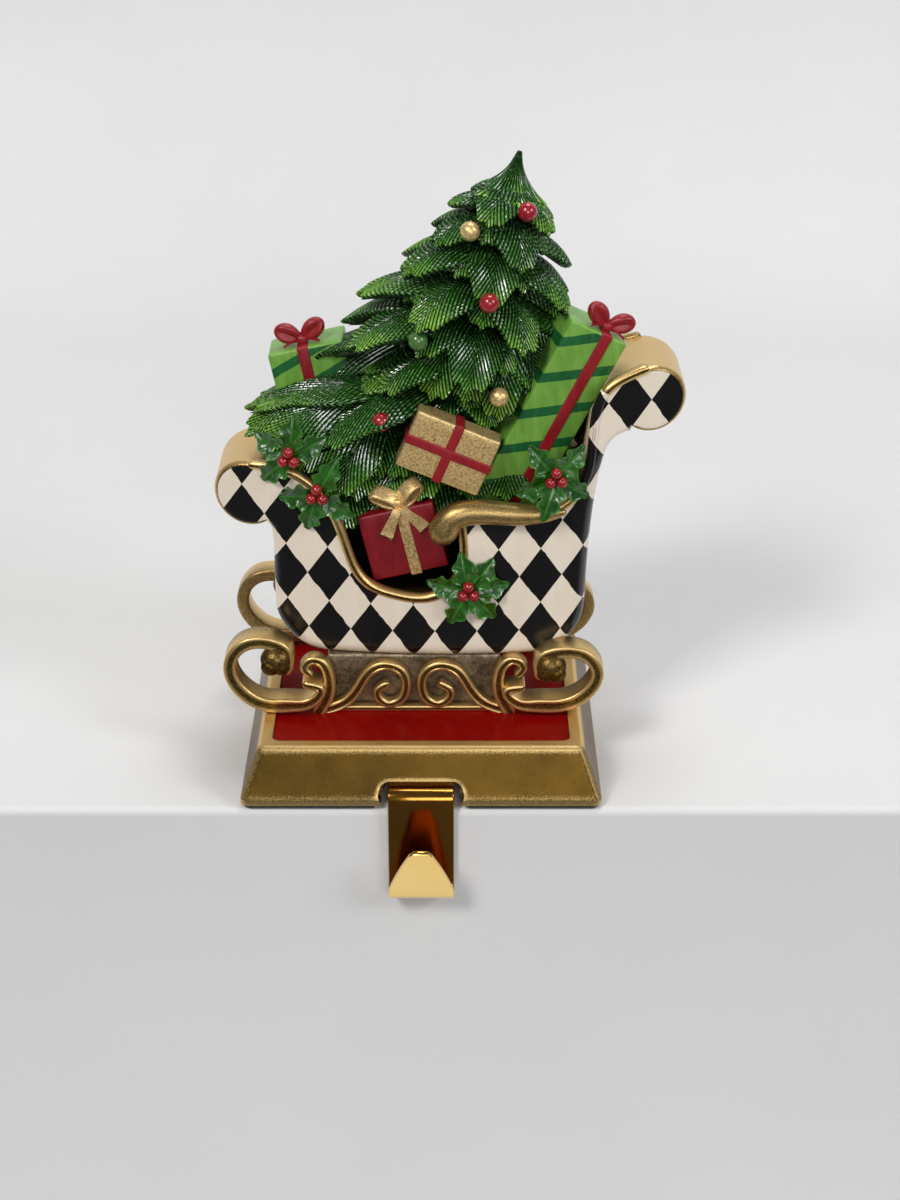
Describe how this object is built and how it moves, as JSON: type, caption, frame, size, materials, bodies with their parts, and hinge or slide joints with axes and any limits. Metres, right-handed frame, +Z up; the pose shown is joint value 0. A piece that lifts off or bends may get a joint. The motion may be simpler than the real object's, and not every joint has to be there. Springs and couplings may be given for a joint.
{
  "type": "mantel stocking holder",
  "caption": "Weighted mantel stocking holder: bevelled base with a hanging strip hook, and a scroll-runner sleigh that carries a fir tree, gifts and holly.",
  "frame": {"origin": "middle of the base's footprint, on the underside of the felt pad, which is the top of the mantel shelf", "axes": "+Z up from the shelf, -Y towards the room where the hook hangs, +X to the right seen from the room"},
  "size_m": [0.165, 0.1318, 0.2502],
  "materials": {
    "antique_gold": "antiqued gold paint, worn bright on the edges",
    "red_enamel": "deep glossy red enamel",
    "felt": "matt felt",
    "polished_brass": "polished and lacquered",
    "screw_steel": "plated",
    "mottled_bronze": "mottled bronze-grey paint",
    "tub_enamel": "glossy black and ivory diamonds with gold edges",
    "green_paint": "satin light green with dark stripes and crimson ribbon",
    "red_paint": "satin dark red with gold ribbon",
    "gold_leaf": "rubbed gold with crimson ribbon",
    "holly_green": "satin green with gold edges and red berries",
    "fir_green": "satin green with pale tips and painted balls"
  },
  "bodies": {
    "root": {"base_casting": "antique_gold", "field_enamel": "red_enamel", "felt_pad": "felt", "hook": "polished_brass", "hook_screws": "screw_steel", "pedestal": "mottled_bronze", "runner_near": "antique_gold", "runner_far": "antique_gold", "sleigh_tub": "tub_enamel", "gift_tall": "green_paint", "gift_small": "green_paint", "gift_red": "red_paint", "gift_gold": "gold_leaf", "holly_front": "holly_green", "holly_right": "holly_green", "holly_left_high": "holly_green", "holly_left_low": "holly_green", "fir_tree": "fir_green"}
  },
  "joints": []
}
